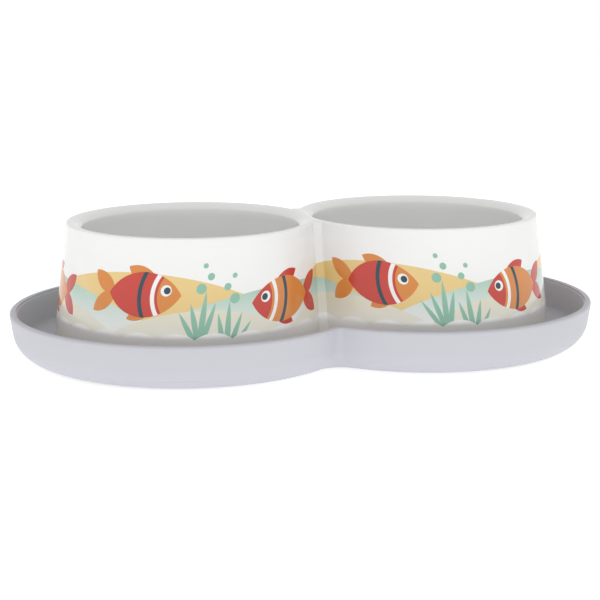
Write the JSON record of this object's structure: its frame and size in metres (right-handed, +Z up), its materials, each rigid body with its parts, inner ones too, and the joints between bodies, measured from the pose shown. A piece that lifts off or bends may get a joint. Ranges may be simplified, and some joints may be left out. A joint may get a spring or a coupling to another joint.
{
  "type": "double pet bowl",
  "caption": "Glossy white double pet bowl with two round wells and a printed skirt, standing loose in a shallow waisted drip tray on rubber feet.",
  "frame": {"origin": "on the table, under the middle of the tray", "axes": "+X from the left well to the right well, +Y to the back, +Z up"},
  "size_m": [0.3012, 0.1808, 0.0677],
  "materials": {
    "bowl_plastic": "glossy moulded plastic",
    "label_film": "glossy printed film, moulded in",
    "tray_plastic": "smooth satin moulded plastic",
    "foot_rubber": "matt soft rubber"
  },
  "bodies": {
    "tray": {"tray": "tray_plastic", "foot_1": "foot_rubber", "foot_2": "foot_rubber", "foot_3": "foot_rubber", "foot_4": "foot_rubber", "foot_5": "foot_rubber", "foot_6": "foot_rubber", "foot_7": "foot_rubber", "foot_8": "foot_rubber"},
    "bowl": {"bowl_shell": "bowl_plastic", "printed_label": "label_film"}
  },
  "joints": [
    {"name": "bowl_lift", "type": "slide", "parent": "tray", "child": "bowl", "axis": [0, 0, 1], "range_m": [0, 0.08]}
  ]
}
